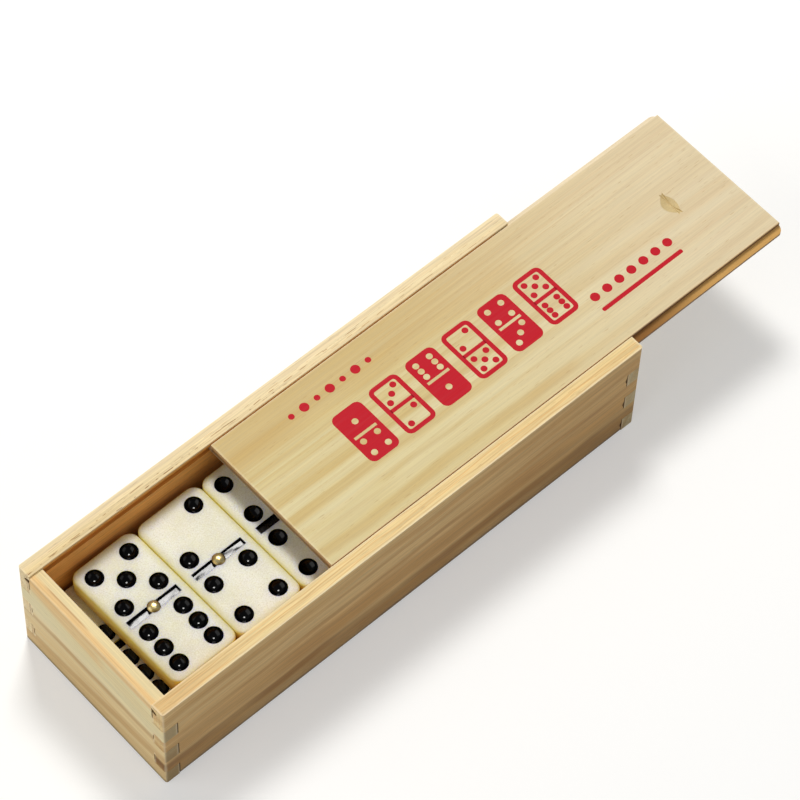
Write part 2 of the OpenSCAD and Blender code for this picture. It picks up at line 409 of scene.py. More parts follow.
def pine(name, pith, gap, early, late, pale, along="X", wander=3.0, ring=0.8, fibre=0.25, fleck=0.0,
         fleck_tone=srgb(140, 95, 45), box=None, edge=0.35, rough=0.58, tints=(), marks=()):
    """Pine board. early, late and pale are its colours. tints are (mask, colour, strength), where mask
    takes the tree and the place. marks are (across axis, level, slope, half width, softness, from, to,
    colour, strength) and, where the mark is broken, how much."""
    finish, tree, surface, place = new_material(name)
    vector = place
    if along == "Y":
        turn = (0.0, 0.0, math.radians(90))
        vector = add(tree, "ShaderNodeMapping", Vector=place, Rotation=turn).outputs[0]
    wood = add(tree, "ShaderNodeGroup", {"node_tree": GRAIN})
    tree.links.new(vector, wood.inputs["Vector"])
    wood.inputs["Pith"].default_value = pith
    wood.inputs["Ring gap"].default_value = gap
    wood.inputs["Wander"].default_value = wander
    colour = mixed(tree, spread(tree, wood.outputs["Streak"], 0.36, 0.64), early, pale)
    colour = mixed(tree, maths(tree, "MULTIPLY", wood.outputs["Ring"], ring), colour, late)
    parts = in_mm(tree, place)
    for across, level, slope, half, soft, first, last, tone, strength, *broken in marks:
        mark = add(tree, "ShaderNodeGroup", {"node_tree": MARK}, Along=parts[0 if along == "X" else 1],
                   Across=parts["XYZ".index(across)], Level=level, Slope=slope, Half=half, Soft=soft,
                   From=first, To=last, Broken=broken[0] if broken else 0.0).outputs[0]
        colour = mixed(tree, maths(tree, "MULTIPLY", mark, strength), colour, tone)
    for mask, tone, strength in tints:
        colour = mixed(tree, maths(tree, "MULTIPLY", mask(tree, place), strength), colour, tone)
    shade = spread(tree, wood.outputs["Fibre"], 0.25, 0.75, 1.0 - fibre, 1.0 + fibre * 0.4)
    shade = add(tree, "ShaderNodeCombineColor", i0=shade, i1=shade, i2=shade).outputs[0]
    colour = mixed(tree, 1.0, colour, shade, "MULTIPLY")
    if fleck:
        colour = mixed(tree, maths(tree, "MULTIPLY", wood.outputs["Fleck"], fleck), colour, fleck_tone)
    # Edges are lightened towards pale wood: wear, with a painted highlight along them.
    if box:
        low, high = box
        edge_wear_and_highlight = add(tree, "ShaderNodeGroup", {"node_tree": ARRIS})
        tree.links.new(place, edge_wear_and_highlight.inputs["Vector"])
        edge_wear_and_highlight.inputs["Middle"].default_value = [(a + b) / 2 for a, b in zip(low, high)]
        edge_wear_and_highlight.inputs["Half"].default_value = [(b - a) / 2 for a, b in zip(low, high)]
        edge_wear_and_highlight.inputs["Width"].default_value = 0.9
        rubbed_and_highlit = maths(tree, "MULTIPLY", edge_wear_and_highlight.outputs["Edge"], edge)
        colour = mixed(tree, rubbed_and_highlit, colour, srgb(250, 235, 200))
    tree.links.new(colour, surface.inputs["Base Color"])
    gloss = spread(tree, wood.outputs["Fibre"], 0.2, 0.8, rough - 0.07, rough + 0.1)
    tree.links.new(gloss, surface.inputs["Roughness"])
    surface.inputs["Specular IOR Level"].default_value = 0.25
    bump = add(tree, "ShaderNodeBump", Strength=0.22, Distance=0.00012, Height=wood.outputs["Height"])
    tree.links.new(bump.outputs[0], surface.inputs["Normal"])
    return finish


def cream_resin():
    """Speckled cream resin, with olive and gold painted where the light comes through its edges, and painted
    shade low on each side.
    """
    finish, tree, surface, place = new_material("cream_resin")
    mm = scaled(tree, place, PER_METRE)
    speck = noise(tree, mm, (2.6, 2.6, 2.6), 3.0, 0.65).outputs[0]
    cloud = spread(tree, noise(tree, mm, (0.09, 0.09, 0.09), 2.0).outputs[0], 0.35, 0.65)
    colour = mixed(tree, cloud, srgb(238, 236, 220), srgb(230, 227, 205))
    colour = mixed(tree, spread(tree, speck, 0.48, 0.66, 0.0, 0.7), colour, srgb(214, 208, 180))
    colour = mixed(tree, spread(tree, speck, 0.46, 0.32, 0.0, 0.7), colour, srgb(246, 245, 236))
    face = add(tree, "ShaderNodeUVMap", {"uv_map": "tile_face"}).outputs[0]
    away = parts_of(tree, vectors(tree, "ABSOLUTE", face))
    rim = maths(tree, "MAXIMUM", away[0], maths(tree, "SUBTRACT", away[1], (TILE_L - TILE_W) / 2))
    # Yellowish towards the rim of the top face: a painted glow of light coming through the edge.
    colour = mixed(tree, spread(tree, rim, 9.0, 11.9, 0.0, 0.75), colour, srgb(216, 207, 154))
    up = parts_of(tree, tree.nodes["Texture Coordinate"].outputs["Normal"])[2]
    # The sides are gold near the top and brown lower down: painted glow through the edge, with painted shade
    # below it.
    layer = maths(tree, "DIVIDE", maths(tree, "SUBTRACT", in_mm(tree, place)[2], PANEL), TILE_T + RIVET_H)
    low = spread(tree, maths(tree, "FRACT", layer), 0.72, 0.2)
    side = mixed(tree, low, srgb(233, 218, 128), srgb(192, 156, 74))
    colour = mixed(tree, spread(tree, up, 0.95, 0.45, 0.0, 0.95), colour, side)
    tree.links.new(colour, surface.inputs["Base Color"])
    surface.inputs["Roughness"].default_value = 0.5
    surface.inputs["Specular IOR Level"].default_value = 0.25
    surface.inputs["Subsurface Weight"].default_value = 0.7
    surface.inputs["Subsurface Radius"].default_value = (1.0, 0.9, 0.35)
    surface.inputs["Subsurface Scale"].default_value = 0.004
    bump = add(tree, "ShaderNodeBump", Strength=0.06, Distance=0.0001, Height=speck)
    tree.links.new(bump.outputs[0], surface.inputs["Normal"])
    return finish


def glossy_lacquer():
    """Black lacquer with a little dust in it."""
    finish, tree, surface, place = new_material("glossy_lacquer")
    dust = noise(tree, scaled(tree, place, PER_METRE), (1.2, 1.2, 1.2), 3.0, 0.6).outputs[0]
    colour = mixed(tree, spread(tree, dust, 0.55, 0.8), srgb(4, 4, 5), srgb(16, 16, 18))
    tree.links.new(colour, surface.inputs["Base Color"])
    tree.links.new(spread(tree, dust, 0.3, 0.7, 0.07, 0.13), surface.inputs["Roughness"])
    surface.inputs["Specular IOR Level"].default_value = 0.22
    bump = add(tree, "ShaderNodeBump", Strength=0.06, Distance=0.0001, Height=dust)
    tree.links.new(bump.outputs[0], surface.inputs["Normal"])
    return finish


def bar_floor():
    """Black lacquer of the bar's floor, unevenly laid and scuffed."""
    finish, tree, surface, place = new_material("bar_floor")
    mm = scaled(tree, place, PER_METRE)
    sag = noise(tree, mm, (0.11, 0.2, 0.11), 1.0).outputs[0]
    scuff = noise(tree, mm, (0.45, 0.9, 0.45), 1.0, 0.5).outputs[0]
    colour = mixed(tree, spread(tree, scuff, 0.4, 0.6), srgb(6, 6, 7), srgb(26, 26, 29))
    tree.links.new(colour, surface.inputs["Base Color"])
    tree.links.new(spread(tree, scuff, 0.35, 0.65, 0.1, 0.18), surface.inputs["Roughness"])
    surface.inputs["Specular IOR Level"].default_value = 0.27
    height = maths(tree, "MULTIPLY_ADD", scuff, 0.02, sag)
    bump = add(tree, "ShaderNodeBump", Strength=1.0, Distance=0.0008, Height=height)
    tree.links.new(bump.outputs[0], surface.inputs["Normal"])
    return finish


def worn_brass():
    """Pale brass, dented, and darker where the dome falls away to its rim, a painted shade."""
    finish, tree, surface, place = new_material("worn_brass")
    dent = noise(tree, scaled(tree, place, PER_METRE), (1.1, 1.1, 1.1), 2.0).outputs[0]
    colour = mixed(tree, spread(tree, dent, 0.35, 0.7), srgb(240, 224, 166), srgb(204, 174, 104))
    # Painted shade: darker where the dome falls away to its rim.
    rim = facing(2, 0.9, 0.79)(tree, place)
    colour = mixed(tree, maths(tree, "MULTIPLY", rim, 0.8), colour, srgb(116, 90, 42))
    tree.links.new(colour, surface.inputs["Base Color"])
    surface.inputs["Metallic"].default_value = 1.0
    tree.links.new(spread(tree, dent, 0.3, 0.7, 0.28, 0.4), surface.inputs["Roughness"])
    bump = add(tree, "ShaderNodeBump", Strength=0.35, Distance=0.0003, Height=dent)
    tree.links.new(bump.outputs[0], surface.inputs["Normal"])
    return finish


def red_ink():
    """Printed ink, thinner over the wood's fibres."""
    finish, tree, surface, place = new_material("red_ink")
    wood = add(tree, "ShaderNodeGroup", {"node_tree": GRAIN})
    tree.links.new(place, wood.inputs["Vector"])
    thin = spread(tree, wood.outputs["Fibre"], 0.5, 0.85, 0.0, 0.5)
    colour = mixed(tree, thin, srgb(192, 12, 34), srgb(206, 60, 58))
    tree.links.new(colour, surface.inputs["Base Color"])
    tree.links.new(spread(tree, wood.outputs["Fibre"], 0.3, 0.7, 0.55, 0.7), surface.inputs["Roughness"])
    surface.inputs["Specular IOR Level"].default_value = 0.15
    bump = add(tree, "ShaderNodeBump", Strength=0.15, Distance=0.0001, Height=wood.outputs["Height"])
    tree.links.new(bump.outputs[0], surface.inputs["Normal"])
    return finish


def painted(piece, *finishes):
    piece.data.materials.clear()
    for f in finishes:
        piece.data.materials.append(f)


def repaint(node, finish):
    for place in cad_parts[node].material_slots:
        place.material = finish


GRAIN = pine_grain_group()
ARRIS = arris_group()
MARK = mark_group()
# Warm orange on the walls' inner faces: painted bounce light and shade inside the box.
PAINTED_INSIDE_BOUNCE = srgb(247, 168, 68)
ORANGE = srgb(222, 170, 102)
LONG_PINE = dict(early=srgb(237, 208, 148), late=srgb(222, 182, 116), pale=srgb(241, 216, 158))
# Dark brown in the groove and in the joints' gaps: painted shade in these recesses.
PAINTED_GAP_SHADE = srgb(96, 60, 30)
INNER_LONG = all_of(within(0, -87.8, 87.8), within(1, -29.1, 29.1, 0.1), within(2, -10.0, 41.6))
GROOVE_END = all_of(within(0, -92.9, 92.9, 0.1), within(1, -29.2, 29.2, 0.1), within(2, 37.9, 41.0, 0.1))
JOINT_END = all_of(facing(0, -0.5, -0.9), within(0, -88.0, -87.2, 0.1), outside(1, -27.3, 27.3))
JOINT_GAP = all_of(within(0, -88.1, 88.1, 0.05), outside(1, -27.3, 27.3))
SAWN_END = srgb(152, 126, 86)
FRONT_PINE = pine(
    "front_board_pine", (0.0, -75.0, 6.0), 3.1, **LONG_PINE, ring=0.24, fibre=0.22, fleck=0.3,
    box=((-93, -32, -6), (93, -27, 42)), edge=0.5,
    marks=[("Y", -31.2, 0.0, 0.05, 0.25, -200, 200, ORANGE, 0.5),
           ("Y", -30.2, 0.001, 0.03, 0.2, -200, 200, ORANGE, 0.5),
           ("Y", -29.3, -0.001, 0.05, 0.25, -200, 200, ORANGE, 0.5),
           ("Y", -28.3, 0.0, 0.04, 0.2, -200, 40, ORANGE, 0.5),
           ("Z", 36.5, -0.004, 0.6, 2.2, -200, 200, srgb(206, 160, 100), 0.7),
           ("Z", 31.8, 0.006, 0.3, 1.2, -200, 120, srgb(200, 150, 92), 0.6),
           ("Z", 24.2, 0.003, 0.3, 1.8, -200, 200, srgb(186, 138, 84), 0.8),
           ("Z", 17.4, 0.003, 2.4, 4.0, -200, 200, srgb(196, 148, 88), 0.8),
           ("Z", 8.6, -0.004, 1.1, 2.4, -200, 200, srgb(130, 86, 36), 0.95),
           ("Z", 4.4, -0.002, 1.8, 2.4, -200, 200, srgb(166, 122, 64), 0.85),
           ("Z", 0.3, 0.0, 0.8, 1.0, -200, 200, srgb(108, 84, 46), 0.85)],
    # The outer front face is tinted browner and darker: painted shade on a face turned from the light. The
    # next tints darken it towards the far end, lower down, and along the bottom edge.
    tints=[(facing(1, -0.4, -0.9), srgb(214, 164, 100), 0.4),
           (all_of(facing(1, -0.4, -0.9), slope_along(0, 0, 70)), srgb(192, 144, 80), 0.35),
           (all_of(facing(1, -0.4, -0.9), slope_along(0, 20, 80), slope_along(2, 20, 4)),
            srgb(140, 108, 62), 0.3),
           (all_of(facing(1, -0.4, -0.9), slope_along(2, 2.4, 0.4)), srgb(92, 74, 44), 0.75),
           (all_of(within(2, 41.3, 42.5), slope_along(0, -55, -90)), srgb(214, 160, 94), 0.4),
           (JOINT_END, PAINTED_GAP_SHADE, 0.7),
           (GROOVE_END, PAINTED_GAP_SHADE, 0.7), (INNER_LONG, PAINTED_INSIDE_BOUNCE, 0.8)])
BACK_PINE = pine(
    "back_board_pine", (0.0, 90.0, 20.0), 2.7, early=srgb(241, 216, 162), late=srgb(226, 188, 126),
    pale=srgb(244, 224, 178), ring=0.4, fibre=0.22, fleck=0.35, box=((-93, 27, 0), (93, 32, 42)),
    marks=[("Y", 28.0, 0.0, 0.05, 0.16, -120, 0, srgb(140, 86, 30), 0.95, 1.0),
           ("Y", 28.1, 0.001, 0.03, 0.14, 14, 200, srgb(170, 116, 54), 0.7, 1.0),
           ("Y", 28.8, 0.001, 0.04, 0.14, -120, 30, srgb(158, 102, 42), 0.85, 1.0),
           ("Y", 29.5, 0.0, 0.02, 0.14, -120, 200, srgb(196, 146, 82), 0.6, 1.0),
           ("Y", 30.8, 0.001, 0.3, 0.9, -120, 200, srgb(238, 216, 176), 0.6)],
    tints=[(JOINT_END, PAINTED_GAP_SHADE, 0.7), (GROOVE_END, PAINTED_GAP_SHADE, 0.7), (INNER_LONG, PAINTED_INSIDE_BOUNCE, 0.8)])
END_PINE = dict(early=srgb(243, 226, 176), late=srgb(222, 184, 124), pale=srgb(240, 228, 184))
NEAR_PINE = pine(
    "near_end_pine", (0.0, 150.0, 10.0), 4.2, **END_PINE, along="Y", ring=0.06, wander=6.0, fibre=0.14,
    fleck=0.2, box=((-93, -32, -6), (-88, 32, NEAR_TOP)),
    marks=[("Z", 31.0, 0.01, 3.5, 4.5, -34, 34, srgb(230, 210, 158), 0.5),
           ("Z", 34.8, 0.14, 1.2, 3.4, 0, 34, srgb(238, 196, 132), 0.7),
           ("Z", 23.8, -0.03, 0.4, 2.0, -34, 34, srgb(242, 228, 186), 0.5),
           ("Z", 20.2, -0.027, 0.2, 2.5, -34, 34, srgb(182, 138, 88), 0.8),
           ("Z", 16.6, -0.05, 0.6, 2.0, -34, 34, srgb(236, 210, 156), 0.6),
           ("Z", 13.0, -0.074, 0.0, 1.8, -34, 34, srgb(200, 158, 102), 0.6),
           ("Z", 8.9, -0.116, 0.9, 2.6, -34, 34, srgb(172, 124, 72), 0.9),
           ("Z", 2.8, -0.04, 1.6, 3.4, -34, 34, srgb(200, 162, 96), 0.8),
           ("Z", 0.4, 0.0, 0.5, 0.9, -34, 34, srgb(134, 104, 62), 0.75)],
    tints=[(slope_along(2, 27.0, 12.0), srgb(230, 196, 136), 0.6),
           (all_of(facing(0, -0.4, -0.9), slope_along(2, 2.2, 0.4)), srgb(104, 90, 56), 0.55),
           (within(2, 40.9, 42.0), srgb(236, 210, 152), 0.6),
           (all_of(within(2, 38.3, 42.5, 1.3), within(0, -94.0, -91.0, 0.7)), srgb(237, 194, 130), 0.8),
           (all_of(within(2, 40.9, 42.0), within(0, -91.2, -90.8, 0.2), within(1, 4.0, 21.0, 3.0)),
            srgb(186, 132, 76), 0.7),
           (facing(1, -0.5, -0.95), SAWN_END, 0.7), (facing(1, 0.5, 0.95), SAWN_END, 0.7),
           (within(0, -88.1, 0, 0.1), srgb(232, 206, 156), 0.7), (JOINT_GAP, PAINTED_GAP_SHADE, 0.9)])
FAR_PINE = pine(
    "far_end_pine", (0.0, -60.0, 60.0), 3.6, **END_PINE, along="Y", ring=0.8, wander=5.0, fibre=0.24,
    fleck=0.3, box=((88, -32, 0), (93, 32, FAR_TOP)),
    tints=[(facing(1, -0.5, -0.95), SAWN_END, 0.5), (facing(1, 0.5, 0.95), SAWN_END, 0.5),
           (within(0, 0, 88.1, 0.1), PAINTED_INSIDE_BOUNCE, 0.8), (JOINT_GAP, PAINTED_GAP_SHADE, 0.9)])
PALE_BAND, TAN_BAND = srgb(227, 216, 172), srgb(199, 166, 98)
LID_PINE = pine(
    "lid_board_pine", (0.0, -22.0, 30.0), 2.2, early=srgb(212, 191, 132), late=srgb(200, 168, 104),
    pale=srgb(219, 203, 150), ring=0.5, wander=2.4, fibre=0.1, fleck=0.4, fleck_tone=srgb(170, 130, 72),
    box=((LID_NEAR, -LID_HALF, LID_BOTTOM), (LID_FAR, LID_HALF, LID_TOP)), edge=0.25, rough=0.55,
    marks=[("Y", 16.0, -0.015, 1.6, 3.5, -30, 80, srgb(202, 168, 98), 0.5),
           ("Y", 3.5, -0.03, 0.5, 2.2, -30, 160, PALE_BAND, 0.4),
           ("Y", -1.5, -0.03, 0.3, 1.8, -30, 160, TAN_BAND, 0.35),
           ("Y", -5.0, -0.025, 0.6, 2.2, -30, 160, PALE_BAND, 0.5),
           ("Y", -9.4, -0.02, 0.8, 2.4, -30, 160, TAN_BAND, 0.35),
           ("Y", -12.8, -0.012, 0.5, 2.4, -30, 90, PALE_BAND, 0.6),
           ("Y", -15.2, -0.014, 0.1, 1.2, 10, 160, TAN_BAND, 0.5),
           ("Y", -17.8, -0.006, 1.2, 2.6, -30, 160, PALE_BAND, 0.5),
           ("Y", -22.4, -0.002, 0.7, 2.0, -30, 70, TAN_BAND, 0.5),
           ("Y", -23.2, 0.004, 0.4, 1.8, 60, 160, TAN_BAND, 0.4)],
    tints=[(all_of(slope_along(1, 8, 22), slope_along(0, 140, 50)), srgb(199, 166, 102), 0.55),
           # Paler and pinker towards the far end: painted light and sheen where the lamp is nearer.
           (slope_along(0, 20, 150), srgb(226, 208, 184), 0.5),
           (all_of(facing(2, 0.97, 0.92), within(1, 26.5, 30.0, 0.1)), srgb(240, 222, 190), 0.7),
           # The front tongue's slope is golden, its own burnished colour with a painted highlight, and
           # browner near the case as painted shade. Its upright faces are dark brown, router-darkened wood
           # with painted shade on them.
           (all_of(facing(2, 0.97, 0.92), within(1, -30.0, -26.5, 0.1)), srgb(226, 170, 84), 0.85),
           (all_of(facing(2, 0.97, 0.92), within(1, -30.0, -26.5, 0.1), slope_along(0, 132, 94)),
            srgb(140, 88, 40), 0.85),
           (all_of(facing(2, 0.5, 0.2), within(1, -30.0, -26.5, 0.1)), srgb(104, 62, 24), 0.9),
           (all_of(facing(0, -0.5, -0.9), within(0, -26.0, -25.1, 0.1)), srgb(188, 146, 98), 0.8),
           # The lower half of the near end face is painted darker: painted shade under the lid's edge.
           (all_of(facing(0, -0.5, -0.9), within(0, -26.0, -25.1, 0.1), slope_along(2, 40.6, 39.2)),
            srgb(96, 70, 42), 0.8),
           (facing(2, -0.5, -0.9), srgb(200, 166, 88), 0.7),
           (all_of(within(0, 130.0, 144.0), within(1, -6.0, 6.0), within(2, 30.0, 41.42, 0.04)),
            srgb(205, 180, 122), 0.7)])
PANEL_WOOD = pine("panel_pine", (0.0, 10.0, -30.0), 4.0, early=srgb(216, 192, 144), late=srgb(196, 158, 104),
                  pale=srgb(208, 190, 150), ring=0.7, fibre=0.3)
CREAM = cream_resin()
LACQUER = glossy_lacquer()
BAR_FLOOR = bar_floor()
BRASS = worn_brass()
INK = red_ink()


# Case

def groove_cutter(side):
    """Bar with a sloped top, as long as the wall and a little more."""
    reach = 4.5
    roof = GROOVE_ROOF + (reach - GROOVE_SIDE + LID_HALF) * GROOVE_SLOPE
    piece = block("groove_cutter", (-CASE_L / 2 - 1, GROOVE_SIDE - reach, LID_BOTTOM - LID_PLAY),
                  (CASE_L / 2 + 1, GROOVE_SIDE, roof))
    pick_edges(piece, lambda a, b: on_line(a, b, 1, GROOVE_SIDE) and on_line(a, b, 2, roof))
    bpy.ops.transform.translate(value=(0, 0, -reach * GROOVE_SLOPE * MM))
    done()
    if side < 0:
        take(piece)
        piece.scale = (1, -1, 1)
        settle(piece)
        bpy.ops.object.mode_set(mode="EDIT")
        bpy.ops.mesh.select_all(action="SELECT")
        bpy.ops.mesh.normals_make_consistent(inside=False)
        done()
    return piece


def long_wall(name, side):
    """Long wall with finger slots, a rebate and a groove, its joints a little open."""
    outer, inner = side * CASE_W / 2, side * (CASE_W / 2 - WALL)
    low_y, high_y = min(outer, inner), max(outer, inner)
    wall = block(name, (-CASE_L / 2, low_y, 0), (CASE_L / 2, high_y, CASE_H))
    gap, seam = 0.32, 0.15
    for end in (-1, 1):
        for k in (0, 2, 4):
            x0, x1 = sorted((end * (CASE_L / 2 - WALL - gap), end * (CASE_L / 2 + 1)))
            low_z = -1 if k == 0 else k * FINGER
            cut(wall, block("slot", (x0, low_y - 1, low_z), (x1, high_y + 1, (k + 1) * FINGER + seam)))
    for low, high, wide in ((34.4, 38.1, 0.45), (21.0, 23.6, 0.3), (8.0, 11.4, 0.35)):
        y0, y1 = sorted((inner, inner + side * wide))
        cut(wall, block("slit", (-CASE_L / 2 - 1, y0 - 0.02, low), (-CASE_L / 2 + 2.2, y1 + 0.02, high)))
    rebate = (CASE_L / 2 - WALL + PANEL_IN, CASE_W / 2 - WALL + PANEL_IN)
    cut(wall, block("rebate", (-rebate[0], -rebate[1], -1), (rebate[0], rebate[1], PANEL)))
    cut(wall, groove_cutter(side))
    for end in (-1, 1):
        ease(wall, lambda a, b: on_line(a, b, 0, end * CASE_L / 2) and on_line(a, b, 1, outer), 0.8, 4)
    ease(wall, lambda a, b: on_line(a, b, 1, outer) and on_line(a, b, 2, CASE_H), 0.7, 4)
    ease(wall, lambda a, b: on_line(a, b, 1, inner) and on_line(a, b, 2, CASE_H), 0.3, 2)
    ease(wall, lambda a, b: on_line(a, b, 1, outer) and on_line(a, b, 2, 0), 0.6, 3)
    ease(wall, lambda a, b: on_line(a, b, 0, -CASE_L / 2) and on_line(a, b, 2, CASE_H)
         or on_line(a, b, 0, CASE_L / 2) and on_line(a, b, 2, CASE_H), 0.35, 2)
    for k, up, r in ((0, 0.5, 2.5), (2, -0.4, 2.7), (4, 0.3, 2.8)):
        deselect()
        bpy.ops.mesh.primitive_cylinder_add(vertices=64, radius=r * MM, depth=2 * MM)
        tear = bpy.context.object
        tear.rotation_euler = (math.radians(90), 0, 0)
        tear.location = Vector((CASE_L / 2 - WALL - gap - 0.5 + r, outer, (k + 0.5) * FINGER + up)) * MM
        cut(wall, settle(tear))
    return smooth(wall)


def end_wall(name, side, top):
    outer, inner = side * CASE_L / 2, side * (CASE_L / 2 - WALL)
    low_x, high_x = min(outer, inner), max(outer, inner)
    half = CASE_W / 2 - WALL
    wall = block(name, (low_x, -CASE_W / 2, 0), (high_x, CASE_W / 2, top))
    for s in (-1, 1):
        y0, y1 = sorted((s * half, s * (CASE_W / 2 + 1)))
        for low, high in ((FINGER, 2 * FINGER), (3 * FINGER, 4 * FINGER), (5 * FINGER, top + 1)):
            cut(wall, block("slot", (low_x - 1, y0, low), (high_x + 1, y1, high)))
    cut(wall, block("rebate", (-CASE_L / 2 + WALL - PANEL_IN, -half - PANEL_IN, -1),
                    (CASE_L / 2 - WALL + PANEL_IN, half + PANEL_IN, PANEL)))
    for s in (-1, 1):
        ease(wall, lambda a, b: on_line(a, b, 0, outer) and on_line(a, b, 1, s * CASE_W / 2), 0.8, 4)
    ease(wall, lambda a, b: on_line(a, b, 0, outer) and on_line(a, b, 2, top), 0.6, 3)
    ease(wall, lambda a, b: on_line(a, b, 0, inner) and on_line(a, b, 2, top), 0.4, 3)
    ease(wall, lambda a, b: on_line(a, b, 0, outer) and on_line(a, b, 2, 0), 0.6, 3)
    return smooth(wall)


def finish_wall(piece, node, finish):
    painted(piece, finish)
    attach(piece, "case")
    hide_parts(node)


finish_wall(long_wall("front_board", -1), "front_wall", FRONT_PINE)
finish_wall(long_wall("back_board", 1), "back_wall", BACK_PINE)
finish_wall(end_wall("near_end_board", -1, NEAR_TOP), "near_end_wall", NEAR_PINE)
finish_wall(end_wall("far_end_board", 1, FAR_TOP), "far_end_wall", FAR_PINE)
repaint("bottom_panel", PANEL_WOOD)


# Lid

def notch_cutter(side, depth, width, place):
    """Disc that leans towards one side of the notch; two of them leave a leaf."""
    r = (NOTCH_L ** 2 / 4 + depth ** 2) / (2 * depth)
    lean, thick = math.asin(depth / width), 13.2
    turn = Matrix.Rotation(side * (lean - math.pi / 2), 4, "Y")
    spot = Matrix.Translation(Vector((place, 0, LID_TOP)) * MM)
    deselect()
    bpy.ops.mesh.primitive_cylinder_add(vertices=128, radius=r * MM, depth=thick * MM)
    piece = bpy.context.object
    piece.matrix_world = spot @ turn @ Matrix.Translation(Vector((side * (r - depth), 0, thick / 2)) * MM)
    return settle(piece)


def lid_board():
    lid = block("lid_board", (LID_NEAR, -LID_HALF, LID_BOTTOM), (LID_FAR, LID_HALF, LID_TOP))
    shoulder = LID_TOP - TONGUE_RISE
    pick_faces(lid, lambda c, n: True)
    bpy.ops.mesh.bisect(plane_co=(0, 0, shoulder * MM), plane_no=(0, 0, 1))
    done()
    for s in (-1, 1):
        pick_faces(lid, lambda c, n: n[1] * s > 0.9 and c[2] < shoulder)
        out = s * (TONGUE_TIP - LID_HALF) * MM
        bpy.ops.mesh.extrude_region_move(TRANSFORM_OT_translate={"value": (0, out, 0)})
        done()
        pick_edges(lid, lambda a, b: on_line(a, b, 1, s * TONGUE_TIP) and on_line(a, b, 2, shoulder))
        bpy.ops.transform.translate(value=(0, 0, -TONGUE_DROP * MM))
        done()
        ease(lid, lambda a, b: on_line(a, b, 1, s * TONGUE_TIP) and on_line(a, b, 0, LID_FAR), 1.8, 6)
    cut(lid, notch_cutter(1, 1.2, 3.9, NOTCH_X))
    cut(lid, notch_cutter(-1, 1.42, 2.5, NOTCH_X - 1.35))
    for s in (-1, 1):
        ease(lid, lambda a, b: on_line(a, b, 1, s * LID_HALF) and on_line(a, b, 2, LID_TOP), 0.25, 2)
        ease(lid, lambda a, b: on_line(a, b, 1, s * TONGUE_TIP) and on_line(a, b, 2, LID_BOTTOM), 0.3, 2)
    for x in (LID_NEAR, LID_FAR):
        ease(lid, lambda a, b: on_line(a, b, 0, x) and on_line(a, b, 2, LID_TOP), 0.25, 2)
        ease(lid, lambda a, b: on_line(a, b, 0, x) and on_line(a, b, 2, LID_BOTTOM), 0.2, 2)
    return smooth(lid, 12)


LID = lid_board()
painted(LID, LID_PINE)
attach(LID, "lid")
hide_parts("lid")


# Printed motif on the lid

PRINT_L, PRINT_W, PRINT_CORNER, PRINT_LINE = 19.6, 11.2, 2.2, 1.5
PRINT_HALF, PRINT_SPOT, PRINT_Z = 4.6, 1.05, LID_TOP + 0.01


def flat_plate(width, height, corner, place):
    deselect()
    bpy.ops.mesh.primitive_plane_add(size=1)
    plate = bpy.context.object
    plate.scale = (width * MM, height * MM, 1)
    settle(plate)
    if corner:
        bpy.ops.object.mode_set(mode="EDIT")
        bpy.ops.mesh.select_all(action="SELECT")
        bpy.ops.mesh.bevel(offset=corner * MM, segments=5, affect="VERTICES")
        done()
    plate.location = Vector((place[0], place[1], PRINT_Z)) * MM
    return settle(plate)


def flat_frame(width, height, corner, line, place):
    plate = flat_plate(width, height, corner, (0, 0))
    pick_faces(plate, lambda c, n: True)
    bpy.ops.mesh.inset(thickness=line * MM)
    bpy.ops.mesh.delete(type="FACE")
    done()
    plate.location = Vector((place[0], place[1], 0)) * MM
    return settle(plate)


def flat_dot(r, place):
    deselect()
    bpy.ops.mesh.primitive_circle_add(vertices=28, radius=r * MM, fill_type="NGON")
    dot = bpy.context.object
    dot.location = Vector((place[0], place[1], PRINT_Z)) * MM
    return settle(dot)


def spots(n):
    places = [(0, 0)] if n % 2 else []
    if n >= 2:
        places += [(1, 1), (-1, -1)]
    if n >= 4:
        places += [(-1, 1), (1, -1)]
    if n == 6:
        places += [(-1, 0), (1, 0)]
    return places


def solid_domino(pair, place):
    """Filled domino whose bar and spots are left bare."""
    plate = flat_plate(PRINT_W, PRINT_L, PRINT_CORNER, (0, 0))
    pick_faces(plate, lambda c, n: True)
    bpy.ops.mesh.extrude_region_move(TRANSFORM_OT_translate={"value": (0, 0, 1 * MM)})
    bpy.ops.mesh.select_all(action="SELECT")
    bpy.ops.mesh.normals_make_consistent(inside=False)
    done()
    holes = [block("bare_bar", (-4.2, -0.5, LID_TOP - 1), (4.2, 0.5, LID_TOP + 2))]
    for half, count in ((PRINT_HALF, pair[0]), (-PRINT_HALF, pair[1])):
        for a, b in spots(count):
            deselect()
            bpy.ops.mesh.primitive_cylinder_add(
                vertices=28, radius=PRINT_SPOT * MM, depth=4 * MM,
                location=(a * 2.7 * MM, (half + b * 2.4) * MM, LID_TOP * MM))
            holes.append(settle(bpy.context.object))
    cut(plate, joined("bare_spots", holes))
    pick_faces(plate, lambda c, n: c[2] > LID_TOP + 0.02)
    bpy.ops.mesh.delete(type="FACE")
    done()
    plate.location = Vector((place[0], place[1], 0)) * MM
    return settle(plate)


def outlined_domino(pair, place):
    x, y = place
    parts = [flat_frame(PRINT_W, PRINT_L, PRINT_CORNER, PRINT_LINE, place),
             flat_plate(8.6, 1.3, 0, place)]
    for half, count in ((PRINT_HALF, pair[0]), (-PRINT_HALF, pair[1])):
        for a, b in spots(count):
            parts.append(flat_dot(PRINT_SPOT, (x + a * 2.4, y + half + b * 2.2)))
    return parts


